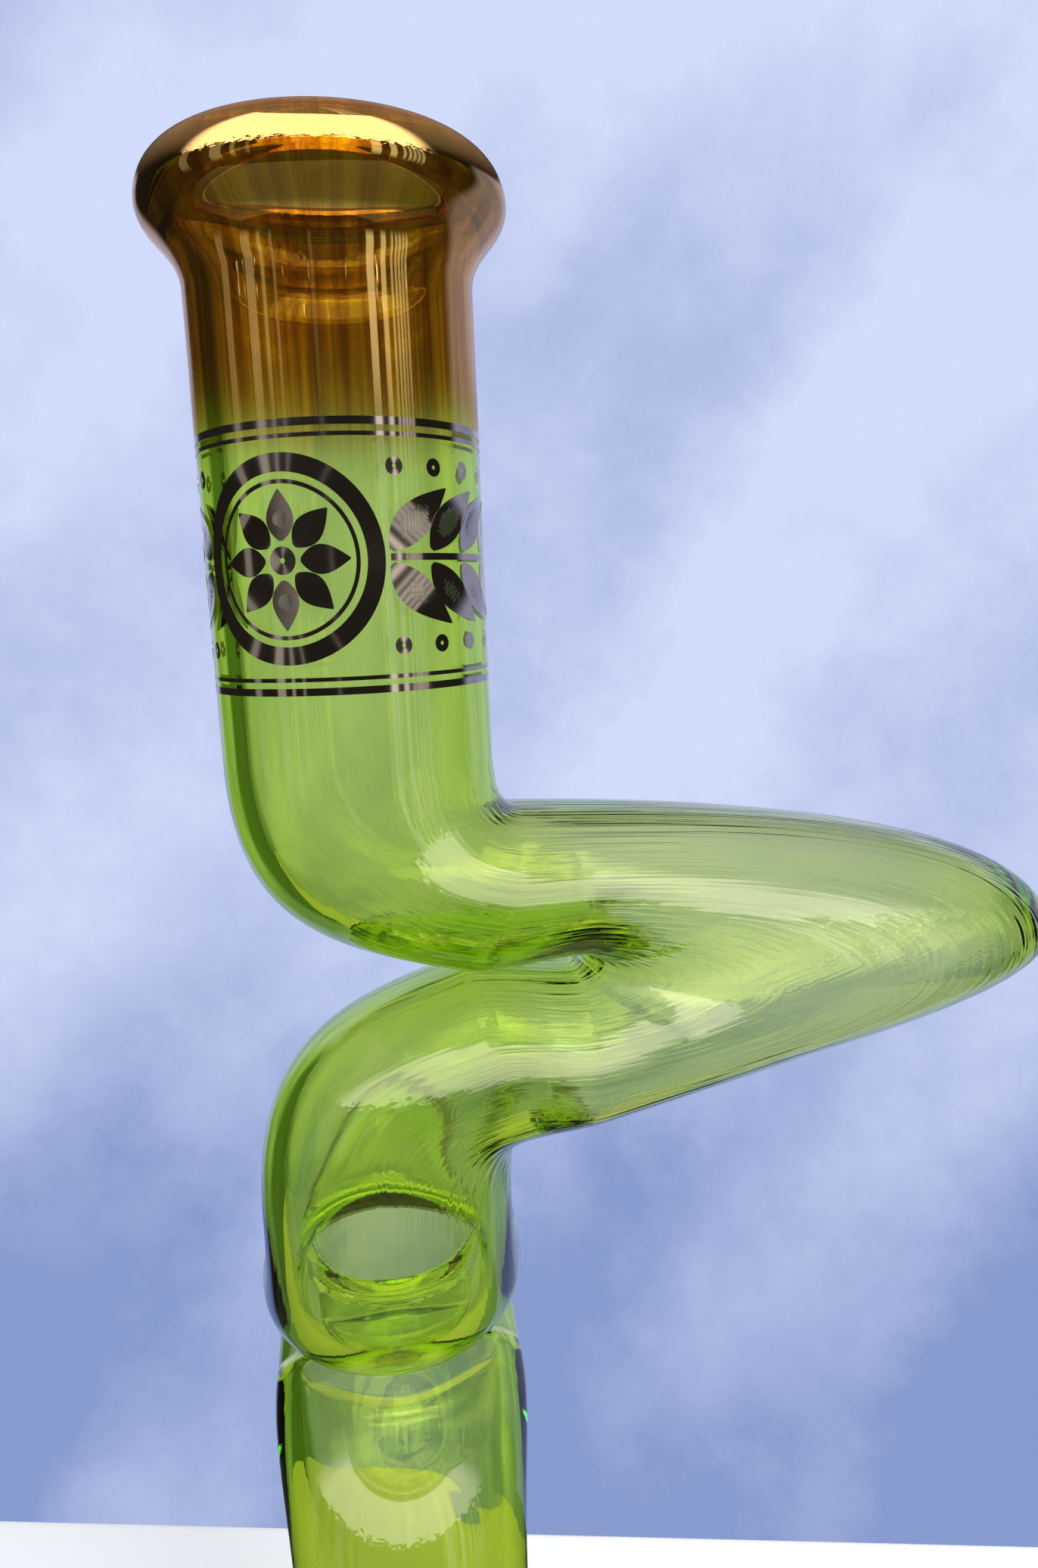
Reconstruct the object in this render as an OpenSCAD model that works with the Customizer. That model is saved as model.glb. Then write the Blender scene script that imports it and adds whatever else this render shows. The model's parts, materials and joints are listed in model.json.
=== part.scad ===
// Kinked glass water pipe: a thick tube that turns out sideways and folds back on
// itself twice, on a conical chamber with an inclined ground-joint stem and bowl.
// The origin is at the middle of the flat bottom, on the tube's axis, and +Z is up.
// The upper kink reaches to +X, the lower kink to +Y, and the stem leaves to -Y.

/* [Glass tube] */
// Outer diameter of the main tube
tube_od = 44; // [38:0.5:54]
// Wall of the main tube
wall = 4; // [3:0.1:5]
// Straight neck between the upper kink and the mouthpiece
neck_len = 71; // [30:0.5:200]
// Straight tube between the chamber and the lower kink
lower_len = 12; // [4:0.5:80]

/* [Mouthpiece] */
// How far the lip stands out past the tube
lip_overhang = 5.7; // [3:0.05:9]
// Height at which the lip is widest, above the straight neck
lip_rise = 12.2; // [8:0.1:25]
// Wall of the rolled lip
lip_wall = 4.8; // [3.5:0.1:6]
// How far the lip's opening stays back from the bore
mouth_clear = 0.35; // [0.2:0.05:1]

/* [Kinks] */
// Reach of a kink from the tube's axis to its rounded tip
kink_reach = 124; // [80:1:160]
// Width of a kink's flattened legs
kink_width = 50; // [46:0.5:60]
// Height of the upper leg at its root, from the crease
upper_leg_h = 27.3; // [22:0.1:34]
// Height of the lower leg at its root, from the crease
lower_leg_h = 29; // [22:0.1:34]
// Fall of the upper leg's back towards the tip, in degrees
upper_leg_fall = 3.6; // [0:0.1:8]
// Rise of the lower leg's belly towards the tip, in degrees
lower_leg_rise = 10.9; // [4:0.1:14]
// How far the tip lies below the crease
tip_drop = 1.9; // [-4:0.1:6]
// Radius of the bend where the tube runs into the legs, on the inner side
throat_r = 4; // [2:0.1:8]
// Round tube above the upper leg
upper_collar = 6.3; // [3:0.1:30]
// Round tube below the lower leg
lower_collar = 9.7; // [3:0.1:30]
// Turn of the lower kink from the upper one, in degrees
kink_turn = 90; // [60:1:120]

/* [Crease] */
// How far inside the tube's side the creases are narrowest
pinch_in = 6.5; // [3:0.5:12]
// Length of the upper kink's crease past its narrowest place
upper_crease_len = 18.5; // [8:0.5:30]
// Length of the lower kink's crease past its narrowest place
lower_crease_len = 4; // [3:0.5:30]
// Radius at a crease's end
crease_r = 2.2; // [1.5:0.1:3.5]
// Gap between the legs where a crease is narrowest
pinch_gap = 1.2; // [0.8:0.1:2.4]
// Slope of the upper leg's side of the crease, in degrees
crease_upper = 13.8; // [8:0.1:22]
// Slope of the lower leg's side of the crease, in degrees
crease_lower = 17.8; // [8:0.1:22]

/* [Kink walls] */
// Wall along a kink's back and belly, where the glass is stretched
back_wall = 2.2; // [1.5:0.1:3]
// Wall at a kink's tip
tip_wall = 4.5; // [2:0.1:6]
// Wall in the throat of a bend, where the glass is gathered
throat_wall = 5; // [3:0.1:7]
// Wall across a bend's sides
bend_wall = 5; // [3:0.1:6]
// Wall beside a crease, where the glass is gathered
crease_wall = 4.4; // [3:0.1:6]
// Wall across a kink's flattened sides
side_wall = 2.8; // [2:0.1:4]

/* [Chamber] */
// Diameter of the chamber at its foot
base_od = 104; // [88:1:130]
// Radius of the foot's outer corner
base_corner = 11; // [8:0.5:16]
// Thickness of the bottom
base_t = 6; // [4:0.5:9]
// Height at which the cone would meet the tube
shoulder_z = 88; // [70:1:140]
// Length of the round blend from the cone into the tube
shoulder_blend = 12; // [6:0.5:20]

/* [Stem] */
// Lean of the stem from upright, in degrees
stem_lean = 45; // [40:1:55]
// Outer diameter of the stem's tube
stem_od = 12; // [10:0.5:13]
// Wall of the stem's tube
stem_wall = 2; // [1.2:0.1:2.5]
// Gap between the stem's tip and the inside of the bottom
tip_gap = 5; // [3:0.5:15]
// Large diameter of the ground socket on the chamber
socket_d = 18.8; // [18.8:0.1:24]
// Length of the ground socket
socket_len = 22; // [18:0.5:30]
// Wall of the socket at its mouth
socket_wall = 2.6; // [2:0.1:4]
// Plain tube between the chamber and the socket
socket_neck = 12; // [8:0.5:30]
// Height of the stem's head above the socket
stem_head = 14; // [12:0.5:20]
// Length of the slits in the stem's tip
slit_len = 12; // [6:0.5:16]
// Width of the slits in the stem's tip
slit_w = 1.2; // [0.8:0.1:2]
// Number of slits in the stem's tip
slits = 6; // [3:1:8]

/* [Bowl] */
// Large diameter of the bowl's ground joint
bowl_joint_d = 14.5; // [13:0.1:14.8]
// Length of the bowl's ground joint
bowl_joint_len = 18; // [14:0.5:20]
// Outer diameter of the bowl's cup
cup_od = 25; // [20:0.5:32]
// Height of the cup above its joint's neck
cup_h = 24; // [20:0.5:36]
// Wall of the cup
cup_wall = 2.6; // [2:0.1:4]
// Diameter of the draught hole in the cup
draught_d = 3.5; // [2:0.1:5]
// Length of the bowl's handle
handle_len = 17; // [10:0.5:30]

/* [Fits] */
// Radial clearance of each ground joint
ground_fit = 0.03; // [0.01:0.01:0.08]

/* [Hidden] */
$fn = 72;

// Colours
lime = [0.55, 0.78, 0.20, 0.75];
deep_lime = [0.40, 0.66, 0.16, 0.80];
amber = [0.72, 0.50, 0.14, 0.90];
clear = [0.86, 0.92, 0.88, 0.60];

// Steps along the curves
curve_steps = 10;
blend_steps = 8;
bend_steps = 12;
leg_steps = 3;
lobe_steps = 10;
ring_points = 24;

// Tube
tube_r = tube_od / 2;
bore_r = tube_r - wall;

// Fullness of a kink's curves: how far each handle reaches along its stretch
back_pull = 0.63;
belly_pull = 0.58;
tip_pull = 0.52;
chin_pull = 0.36;
elbow_pull = 0.59;
elbow_drop = 0.74;
throat_pull = 0.45;
// How much narrower a kink's outer edge is than its inner edge
lobe_egg = 0.2;

// Kink levels and places, from the crease and the axis
pinch_x = tube_r - pinch_in;
pinch_z = pinch_gap / 2;
upper_crease_x = pinch_x + upper_crease_len;
lower_crease_x = pinch_x + lower_crease_len;
root_clear = 1;
root_x = tube_r + throat_r + root_clear;
least_leg = 7;
kink_top = upper_leg_h + throat_r + upper_collar;
kink_bottom = lower_leg_h + throat_r + lower_collar;

// Stack of sections along the axis
chamber_top = shoulder_z + shoulder_blend;
lower_crease_z = chamber_top + lower_len + kink_bottom;
upper_crease_z = lower_crease_z + kink_top + kink_bottom;
neck_z = upper_crease_z + kink_top;
mouth_z = neck_z + neck_len;

// Mouthpiece
lip_r = tube_r + lip_overhang;
nose_r = lip_wall / 2;
roll_x = bore_r + mouth_clear + nose_r;
roll_r = lip_r - roll_x;
inner_roll_r = roll_r - lip_wall;
flare_low = 0.55;
flare_high = 0.35;
roll_from = 10;
nose_turn = 20;

// Chamber: the cone's line is the tangent from the shoulder's corner to the foot's round corner
base_r = base_od / 2;
base_share = 1.6;
inner_corner = base_corner - wall;
base_h = base_corner * base_share;
chamber_outer = cone_line([base_r - base_corner, base_corner], base_corner, [tube_r, shoulder_z]);
chamber_inner = cone_line([base_r - wall - inner_corner, base_t + inner_corner], inner_corner,
                          [bore_r, shoulder_z - wall / 3]);
cone_slope = (chamber_outer[1][0] - tube_r) / (shoulder_z - chamber_outer[1][1]);

// Stem: it runs from its tip on the axis through the cone to the socket's mouth
taper = 1 / 20;
stem_r = stem_od / 2;
stem_bore_r = stem_r - stem_wall;
tip_z = base_t + tip_gap + stem_r * sin(stem_lean);
wall_run = (tube_r + (shoulder_z - tip_z) * cone_slope) / (sin(stem_lean) + cone_slope * cos(stem_lean));
stem_run = wall_run + socket_neck + socket_len;
socket_y = -stem_run * sin(stem_lean);
socket_z = tip_z + stem_run * cos(stem_lean);
socket_r = socket_d / 2;
socket_foot_r = socket_r - socket_len * taper;
socket_or = socket_r + socket_wall;
neck_clear = 0.3;
neck_wall = 2.2;
neck_bore_r = socket_foot_r + neck_clear;
neck_or = neck_bore_r + neck_wall;
swell = 3;
socket_rim = socket_wall / 2;
weld_h = 5;
weld_flare = 3;
wall_lean = 90 - stem_lean - atan(cone_slope);
foot_blend = 6;
tip_root = 5;
tip_len = slit_len + tip_root;

// Stem head and bowl
bowl_joint_r = bowl_joint_d / 2;
bowl_foot_r = bowl_joint_r - bowl_joint_len * taper;
head_over = 1;
head_r = socket_r + head_over;
head_blend = 3;
head_corner = 1;
bore_blend = 4;
bowl_neck = 6;
bowl_z = stem_head + bowl_neck;
bowl_step = 0.7;
bowl_neck_r = bowl_joint_r - bowl_step;
bowl_tube_wall = 2.2;
bowl_bore_r = bowl_foot_r - bowl_tube_wall;
cup_r = cup_od / 2;
cup_floor = 4;
cup_low = 0.22;
cup_full = 0.6;
draught_blend = 2;
rim_r = cup_wall / 2;
rim_turn = 10;
handle_r = 3.2;
handle_waist_r = 2.2;
handle_end_r = 4.4;
handle_z = bowl_z + cup_h * cup_full;

function mix(a, b, t) = a + (b - a) * t;

function smooth(t) = t * t * (3 - 2 * t);

// Point at t on a cubic curve through p0 and p3 with the handles p1 and p2
function bezier(p0, p1, p2, p3, t) =
    pow(1 - t, 3) * p0 + 3 * pow(1 - t, 2) * t * p1 + 3 * (1 - t) * t * t * p2 + pow(t, 3) * p3;

function curve(p0, p1, p2, p3, steps) = [for (i = [0 : steps]) bezier(p0, p1, p2, p3, i / steps)];

function arc(centre, r, from, to, steps) =
    [for (i = [0 : steps]) centre + r * [cos(mix(from, to, i / steps)), sin(mix(from, to, i / steps))]];

// Corner circle of the chamber, where the cone touches it, and the corner at the tube
function cone_line(centre, r, corner) =
    let (
        to_corner = corner - centre,
        angle = atan2(to_corner[1], to_corner[0]) - acos(r / norm(to_corner))
    )
    [centre, centre + r * [cos(angle), sin(angle)], corner, r, angle];

// Half outline of a chamber skin, from the axis at its floor to the tube at its top
function chamber_outline(line, tube) =
    let (run = (line[1] - line[2]) / norm(line[1] - line[2]))
    concat(
        [[0, line[0][1] - line[3]]],
        arc(line[0], line[3], -90, line[4], blend_steps),
        curve(line[2] + run * shoulder_blend, line[2] + run * shoulder_blend / 3,
              [tube, line[2][1] + shoulder_blend / 3], [tube, chamber_top], blend_steps),
        [[0, chamber_top]]
    );

// ---- Kinks ----
// A kink is a chain of stations in its own plane. Each holds the point on the kink's back or
// belly, the point on its crease side, its half width, and its walls at those two points.

function back_z(x) = upper_leg_h - tan(upper_leg_fall) * (x - root_x);

function belly_z(x) = -lower_leg_h + tan(lower_leg_rise) * (x - root_x);

// Where the legs end and the lobe begins
function leg_x(crease_x) = max(crease_x + root_clear, root_x + least_leg);

function crease_z(x, side) = side * (pinch_z + (pinch_x - x) * tan(side > 0 ? crease_upper : crease_lower));

// From the round tube into a leg; side is 1 for the upper leg and -1 for the lower one
function bend(side) =
    let (
        end_z = side > 0 ? kink_top : -kink_bottom,
        root_z = side > 0 ? back_z(root_x) : belly_z(root_x),
        corner_x = pinch_x - (pinch_x + tube_r) * elbow_pull
    )
    [for (i = [0 : bend_steps])
        let (t = i / bend_steps, s = smooth(t))
        [
            bezier([tube_r, end_z], [tube_r, root_z + side * throat_r * throat_pull],
                   [tube_r + throat_r * throat_pull, root_z], [root_x, root_z], t),
            bezier([-tube_r, end_z], [-tube_r, end_z * (1 - elbow_drop)],
                   [corner_x, crease_z(corner_x, side)], [pinch_x, side * pinch_z], t),
            mix(tube_r, kink_width / 2, s),
            mix(wall, throat_wall, s),
            mix(wall, crease_wall, sin(90 * t)),
            mix(wall, bend_wall, s)
        ]];

// Along a leg, from its root to the end of the crease
function leg(side, crease_x) =
    [for (i = [1 : leg_steps])
        let (t = i / leg_steps, s = smooth(t), x = mix(root_x, leg_x(crease_x), t))
        [
            [x, side > 0 ? back_z(x) : belly_z(x)],
            bezier([pinch_x, side * pinch_z], [mix(pinch_x, crease_x, 0.4), side * pinch_z],
                   [mix(pinch_x, crease_x, 0.7), side * crease_r], [crease_x, side * crease_r], t),
            kink_width / 2,
            mix(throat_wall, back_wall, s),
            crease_wall,
            mix(bend_wall, side_wall, s)
        ]];

// Round the crease's end, from the back over the tip to the belly; the tip is step lobe_steps
function lobe(crease_x, from, to) =
    let (
        tip = [kink_reach, -tip_drop],
        start = leg_x(crease_x),
        run = kink_reach - start,
        back = [start, back_z(start)],
        belly = [start, belly_z(start)],
        back_x = start + run * back_pull,
        belly_x = start + run * belly_pull,
        path = concat(
            curve(back, [back_x, back_z(back_x)], tip + [0, tip_pull * (back[1] - tip[1])], tip, lobe_steps),
            [for (i = [1 : lobe_steps])
                bezier(tip, tip - [0, chin_pull * (tip[1] - belly[1])],
                       [belly_x, belly_z(belly_x)], belly, i / lobe_steps)]
        ),
        last = len(path) - 1
    )
    [for (i = [from : to])
        let (turn = 90 - 180 * i / last, tipness = pow(cos(turn), 4))
        [
            path[i],
            [crease_x, 0] + crease_r * [cos(turn), sin(turn)],
            kink_width / 2,
            mix(back_wall, tip_wall, tipness),
            crease_wall,
            side_wall
        ]];

function reverse(list) = [for (i = [len(list) - 1 : -1 : 0]) list[i]];

function top_leg(crease_x) = concat(bend(1), leg(1, crease_x), lobe(crease_x, 1, lobe_steps));

function bottom_leg(crease_x) =
    concat(lobe(crease_x, lobe_steps, 2 * lobe_steps - 1), reverse(leg(-1, crease_x)), reverse(bend(-1)));

// Ring of points at a station: an ellipse between its two points, narrower at its outer edge
function ring(station, inner, crease_x) =
    let (
        span = station[1] - station[0],
        along = span / norm(span),
        outer_edge = station[0] + (inner ? station[3] * along : [0, 0]),
        inner_edge = station[1] - (inner ? station[4] * along : [0, 0]),
        half_width = station[2] - (inner ? station[5] : 0),
        middle = (outer_edge + inner_edge) / 2,
        reach = (outer_edge - inner_edge) / 2,
        egg = lobe_egg * min(1, max(0, (middle[0] - leg_x(crease_x)) / tube_r))
    )
    [for (k = [0 : ring_points - 1])
        let (a = 360 * k / ring_points, p = middle + reach * cos(a))
        [p[0], half_width * sin(a) * (1 - egg * cos(a)), p[1]]];

// Faces of a sleeve: an outer and an inner skin of rings, closed by a flat ring at each end
function skin_faces(rings, first, flip) =
    [for (i = [0 : rings - 2], k = [0 : ring_points - 1])
        let (
            n = (k + 1) % ring_points,
            a = first + i * ring_points + k,
            b = first + i * ring_points + n,
            c = b + ring_points,
            d = a + ring_points
        )
        each flip ? [[a, c, b], [a, d, c]] : [[a, b, c], [a, c, d]]];

function end_faces(outer_start, inner_start, flip) =
    [for (k = [0 : ring_points - 1])
        let (
            n = (k + 1) % ring_points,
            a = outer_start + k,
            b = outer_start + n,
            c = inner_start + n,
            d = inner_start + k
        )
        each flip ? [[a, c, b], [a, d, c]] : [[a, b, c], [a, c, d]]];

module sleeve(stations, crease_x) {
    rings = len(stations);
    outer = [for (s = stations) each ring(s, false, crease_x)];
    inner = [for (s = stations) each ring(s, true, crease_x)];
    inner_start = len(outer);
    last = (rings - 1) * ring_points;
    polyhedron(
        points = concat(outer, inner),
        faces = concat(
            skin_faces(rings, 0, false),
            skin_faces(rings, inner_start, true),
            end_faces(0, inner_start, true),
            end_faces(last, inner_start + last, false)
        ),
        convexity = 10
    );
}

// ---- Sections of the pipe, welded end to end ----

module tube_section(length) {
    difference() {
        cylinder(h = length, r = tube_r);
        translate([0, 0, -1]) cylinder(h = length + 2, r = bore_r);
    }
}

module mouthpiece() {
    outer = concat(
        curve([tube_r, 0], [tube_r, flare_low * lip_rise], [lip_r, (1 - flare_high) * lip_rise],
              [lip_r, lip_rise], curve_steps),
        arc([roll_x, lip_rise], roll_r, roll_from, 90, blend_steps)
    );
    nose = arc([roll_x, lip_rise + roll_r - nose_r], nose_r, 90 + nose_turn, 270 - nose_turn, blend_steps);
    inner = concat(
        arc([roll_x, lip_rise], inner_roll_r, 90, roll_from, blend_steps),
        curve([roll_x + inner_roll_r, lip_rise], [roll_x + inner_roll_r, (1 - flare_high) * lip_rise],
              [bore_r, flare_low * lip_rise], [bore_r, 0], curve_steps)
    );
    color(amber)
    translate([0, 0, mouth_z])
    rotate_extrude() polygon(concat(outer, nose, inner));
}

module neck_tube() {
    color(lime) translate([0, 0, neck_z]) tube_section(neck_len);
}

module upper_kink_top_leg() {
    color(lime) translate([0, 0, upper_crease_z]) sleeve(top_leg(upper_crease_x), upper_crease_x);
}

module upper_kink_bottom_leg() {
    color(lime) translate([0, 0, upper_crease_z]) sleeve(bottom_leg(upper_crease_x), upper_crease_x);
}

module lower_kink_top_leg() {
    color(deep_lime)
    translate([0, 0, lower_crease_z])
    rotate([0, 0, kink_turn])
    sleeve(top_leg(lower_crease_x), lower_crease_x);
}

module lower_kink_bottom_leg() {
    color(deep_lime)
    translate([0, 0, lower_crease_z])
    rotate([0, 0, kink_turn])
    sleeve(bottom_leg(lower_crease_x), lower_crease_x);
}

module lower_tube() {
    color(lime) translate([0, 0, chamber_top]) tube_section(lower_len);
}

// ---- Chamber ----

module chamber_solid() {
    rotate_extrude() polygon(chamber_outline(chamber_outer, tube_r));
}

module chamber_cavity() {
    rotate_extrude() polygon(chamber_outline(chamber_inner, bore_r));
}

module beaker() {
    color(lime)
    difference() {
        chamber_solid();
        chamber_cavity();
        translate([0, 0, -1]) cylinder(h = base_h + 1, r = base_r + 1);
        at_stem() translate([0, 0, -stem_run]) cylinder(h = stem_run, r = neck_or);
    }
}

module base() {
    color(deep_lime)
    difference() {
        chamber_solid();
        chamber_cavity();
        translate([0, 0, base_h]) cylinder(h = chamber_top, r = base_r + 1);
    }
}

// ---- Stem: its own axis is +Z, with zero at the socket's mouth ----

module at_stem() {
    translate([0, socket_y, socket_z]) rotate([stem_lean, 0, 0]) children();
}

// The socket's tube is cut off inside along the chamber's wall, and its weld flares onto the cone
module stem_socket() {
    foot_z = -socket_len - socket_neck;
    deep = 2 * neck_or;
    profile = concat(
        [[neck_bore_r, foot_z - deep], [neck_or, foot_z - deep]],
        curve([neck_or, -socket_len - swell], [neck_or, -socket_len - swell / 3],
              [socket_or, -socket_len - swell / 3], [socket_or, -socket_len + swell], blend_steps),
        arc([socket_or, -socket_rim], socket_rim, -90, 90, blend_steps),
        [[socket_r, 0], [socket_foot_r, -socket_len], [neck_bore_r, -socket_len - swell / 2]]
    );
    weld = concat(
        [[0, -deep], [neck_or + weld_flare, -deep], [neck_or + weld_flare, 0]],
        curve([neck_or + weld_flare, 0], [neck_or + weld_flare / 3, weld_h / 6],
              [neck_or, weld_h / 2], [neck_or - neck_wall / 2, weld_h], blend_steps),
        [[0, weld_h]]
    );
    color(clear)
    difference() {
        union() {
            at_stem() rotate_extrude() polygon(profile);
            difference() {
                at_stem() translate([0, 0, foot_z]) rotate([wall_lean, 0, 0]) rotate_extrude() polygon(weld);
                chamber_solid();
                at_stem() translate([0, 0, foot_z - deep]) cylinder(h = 2 * deep, r = neck_bore_r);
            }
        }
        chamber_cavity();
    }
}

module stem_joint() {
    cone_r = socket_r - ground_fit;
    cone_foot_r = socket_foot_r - ground_fit;
    bore_z = stem_head - bowl_joint_len;
    profile = concat(
        curve([stem_r, -socket_len - foot_blend], [stem_r, -socket_len - foot_blend / 2],
              [cone_foot_r, -socket_len - foot_blend / 2], [cone_foot_r, -socket_len], blend_steps),
        curve([cone_r, 0], [cone_r, head_blend], [head_r, head_blend], [head_r, 2 * head_blend],
              blend_steps),
        arc([head_r - head_corner, stem_head - head_corner], head_corner, 0, 90, blend_steps),
        [[bowl_joint_r, stem_head], [bowl_foot_r, bore_z]],
        curve([bowl_foot_r, bore_z - bore_blend / 4], [bowl_foot_r, bore_z - bore_blend],
              [stem_bore_r, bore_z - bore_blend], [stem_bore_r, bore_z - 2 * bore_blend], blend_steps),
        [[stem_bore_r, -socket_len - foot_blend]]
    );
    color(clear) at_stem() rotate_extrude() polygon(profile);
}

module stem_tube() {
    length = stem_run - socket_len - foot_blend - tip_len;
    color(clear)
    at_stem()
    translate([0, 0, -stem_run + tip_len])
    difference() {
        cylinder(h = length, r = stem_r);
        translate([0, 0, -1]) cylinder(h = length + 2, r = stem_bore_r);
    }
}

// Open end of the stem, cut into fingers that break up the bubbles
module diffuser_tip() {
    color(clear)
    at_stem()
    translate([0, 0, -stem_run])
    difference() {
        rotate_extrude() polygon(concat(
            arc([stem_r - stem_wall / 2, stem_wall / 2], stem_wall / 2, -180, 0, blend_steps),
            [[stem_r, tip_len], [stem_bore_r, tip_len]]
        ));
        for (i = [0 : slits - 1])
            rotate([0, 0, i * 360 / slits])
            translate([0, -slit_w / 2, -1])
            cube([stem_od, slit_w, slit_len + 1]);
    }
}

// ---- Bowl ----

module bowl_joint() {
    cone_r = bowl_joint_r - ground_fit;
    cone_foot_r = bowl_foot_r - ground_fit;
    profile = [
        [bowl_bore_r, stem_head - bowl_joint_len],
        [cone_foot_r, stem_head - bowl_joint_len],
        [cone_r, stem_head],
        [cone_r, stem_head + bowl_step],
        [bowl_neck_r, stem_head + 3 * bowl_step],
        [bowl_neck_r, bowl_z],
        [bowl_bore_r, bowl_z]
    ];
    color(clear) at_stem() rotate_extrude() polygon(profile);
}

function cup_outline() = concat(
    curve([bowl_neck_r, bowl_z], [bowl_neck_r, bowl_z + cup_h * cup_low],
          [cup_r, bowl_z + cup_h * cup_low], [cup_r, bowl_z + cup_h * cup_full], curve_steps),
    arc([cup_r - rim_r, bowl_z + cup_h - rim_r], rim_r, 0, 90, blend_steps)
);

module bowl_cup() {
    floor_z = bowl_z + cup_floor;
    inner = concat(
        arc([cup_r - rim_r, bowl_z + cup_h - rim_r], rim_r, 90 + rim_turn, 180, blend_steps),
        curve([cup_r - cup_wall, bowl_z + cup_h * cup_full], [cup_r - cup_wall, floor_z + cup_h * cup_low],
              [draught_d / 2 + draught_blend, floor_z + draught_blend / 2], [draught_d / 2, floor_z],
              curve_steps),
        [[draught_d / 2, bowl_z + cup_floor / 2], [bowl_bore_r, bowl_z]]
    );
    color(lime) at_stem() rotate_extrude() polygon(concat(cup_outline(), inner));
}

module bowl_handle() {
    reach = cup_r + handle_len;
    color(deep_lime)
    at_stem()
    difference() {
        translate([0, 0, handle_z])
        rotate([0, 90, 0])
        rotate_extrude() polygon(concat(
            [[0, 0], [handle_r, 0]],
            curve([handle_r, cup_r], [handle_waist_r, cup_r + handle_len / 3],
                  [handle_end_r, reach - 2 * handle_end_r], [handle_end_r, reach - handle_end_r],
                  curve_steps),
            arc([0, reach - handle_end_r], handle_end_r, 10, 90, blend_steps)
        ));
        rotate_extrude() polygon(concat([[0, bowl_z]], cup_outline(), [[0, bowl_z + cup_h]]));
    }
}

mouthpiece();
neck_tube();
upper_kink_top_leg();
upper_kink_bottom_leg();
lower_kink_top_leg();
lower_kink_bottom_leg();
lower_tube();
beaker();
base();
stem_socket();
stem_joint();
stem_tube();
diffuser_tip();
bowl_joint();
bowl_cup();
bowl_handle();
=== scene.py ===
"""Looks of the kinked glass water pipe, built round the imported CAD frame.

Lengths are in millimetres until a mesh is made. Levels and widths come from the frame's boxes, and
the forms inside them follow the part's source.
"""

import json
import math

import bpy
import numpy as np
from mathutils import Matrix, Vector


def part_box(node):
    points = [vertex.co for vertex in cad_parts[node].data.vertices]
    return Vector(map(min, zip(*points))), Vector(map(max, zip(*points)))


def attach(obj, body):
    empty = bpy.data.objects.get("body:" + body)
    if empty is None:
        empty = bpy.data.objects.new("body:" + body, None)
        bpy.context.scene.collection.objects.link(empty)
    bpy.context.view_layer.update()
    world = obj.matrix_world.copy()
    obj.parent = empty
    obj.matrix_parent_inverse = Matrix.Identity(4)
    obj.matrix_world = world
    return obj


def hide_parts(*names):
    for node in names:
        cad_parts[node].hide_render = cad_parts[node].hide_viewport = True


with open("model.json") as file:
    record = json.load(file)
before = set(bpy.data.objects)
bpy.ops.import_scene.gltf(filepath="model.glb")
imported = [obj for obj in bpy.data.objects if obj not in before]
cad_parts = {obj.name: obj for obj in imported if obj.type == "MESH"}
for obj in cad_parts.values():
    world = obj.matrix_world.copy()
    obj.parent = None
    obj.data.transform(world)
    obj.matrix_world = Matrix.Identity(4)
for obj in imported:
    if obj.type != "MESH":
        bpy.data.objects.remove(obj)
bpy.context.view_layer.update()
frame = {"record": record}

MM = 0.001
RING = 96  # points round the tube
ROUND = np.linspace(0, 2 * math.pi, RING, endpoint=False)
BOX_FACES = [(0, 2, 3, 1), (4, 5, 7, 6), (0, 1, 5, 4), (2, 6, 7, 3), (0, 4, 6, 2), (1, 3, 7, 5)]


# ---- Sizes ----

def box_mm(node):
    lo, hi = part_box(node)
    return np.array(lo) / MM, np.array(hi) / MM


neck_lo, neck_hi = box_mm("neck_tube")
_, lip_hi = box_mm("mouthpiece")
kink_lo, kink_hi = box_mm("upper_kink_top_leg")
back_lo, _ = box_mm("lower_kink_top_leg")
_, base_hi = box_mm("base")
lower_lo, lower_hi = box_mm("lower_tube")
bore_r = next(m for m in frame["record"]["mounts"] if m["name"] == "neck_bore")["dims"]["r_mm"]

tube_r = neck_hi[0]
wall = tube_r - bore_r
tip_drop = 1.9
upper_crease = kink_lo[2] + tip_drop
lower_crease = back_lo[2] + tip_drop
kink_reach = kink_hi[0]
kink_width = kink_hi[1] - kink_lo[1]
upper_leg_h = 27.3
lower_leg_h = 29.0
upper_fall = math.tan(math.radians(3.6))
lower_rise = math.tan(math.radians(10.9))
throat_r = 4.0
kink_top = kink_hi[2] - upper_crease
kink_bottom = lower_crease - lower_hi[2]
crease_r = 2.2
pinch_x = tube_r - 6.5
upper_crease_x, lower_crease_x = pinch_x + 18.5, pinch_x + 4.0
throat_wall, bend_wall = 5.0, 5.0
upper_throats = {1: 2.6, -1: 3.6}  # the upper kink's throats are drawn thinner
pinch_z = 0.6
crease_slope = {1: math.tan(math.radians(13.8)), -1: math.tan(math.radians(17.8))}
root_x = tube_r + throat_r + 1
least_leg = 7.0
back_wall, tip_wall, crease_wall, side_wall = 2.2, 4.5, 4.4, 2.8
# Handles of the kinks' curves, as shares of what they span
corner_share, fall_share, root_share = 0.59, 0.26, 0.45
crease_near, crease_far = 0.4, 0.7
back_share, belly_share, over_share, under_share = 0.63, 0.58, 0.52, 0.36
egg_share = 0.2


# ---- Curves ----

def mix(a, b, t):
    return a + (b - a) * t


def bezier(p0, p1, p2, p3, t):
    t = np.asarray(t, float)[:, None]
    p0, p1, p2, p3 = (np.asarray(p, float) for p in (p0, p1, p2, p3))
    return (1 - t) ** 3 * p0 + 3 * (1 - t) ** 2 * t * p1 + 3 * (1 - t) * t * t * p2 + t ** 3 * p3


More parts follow.
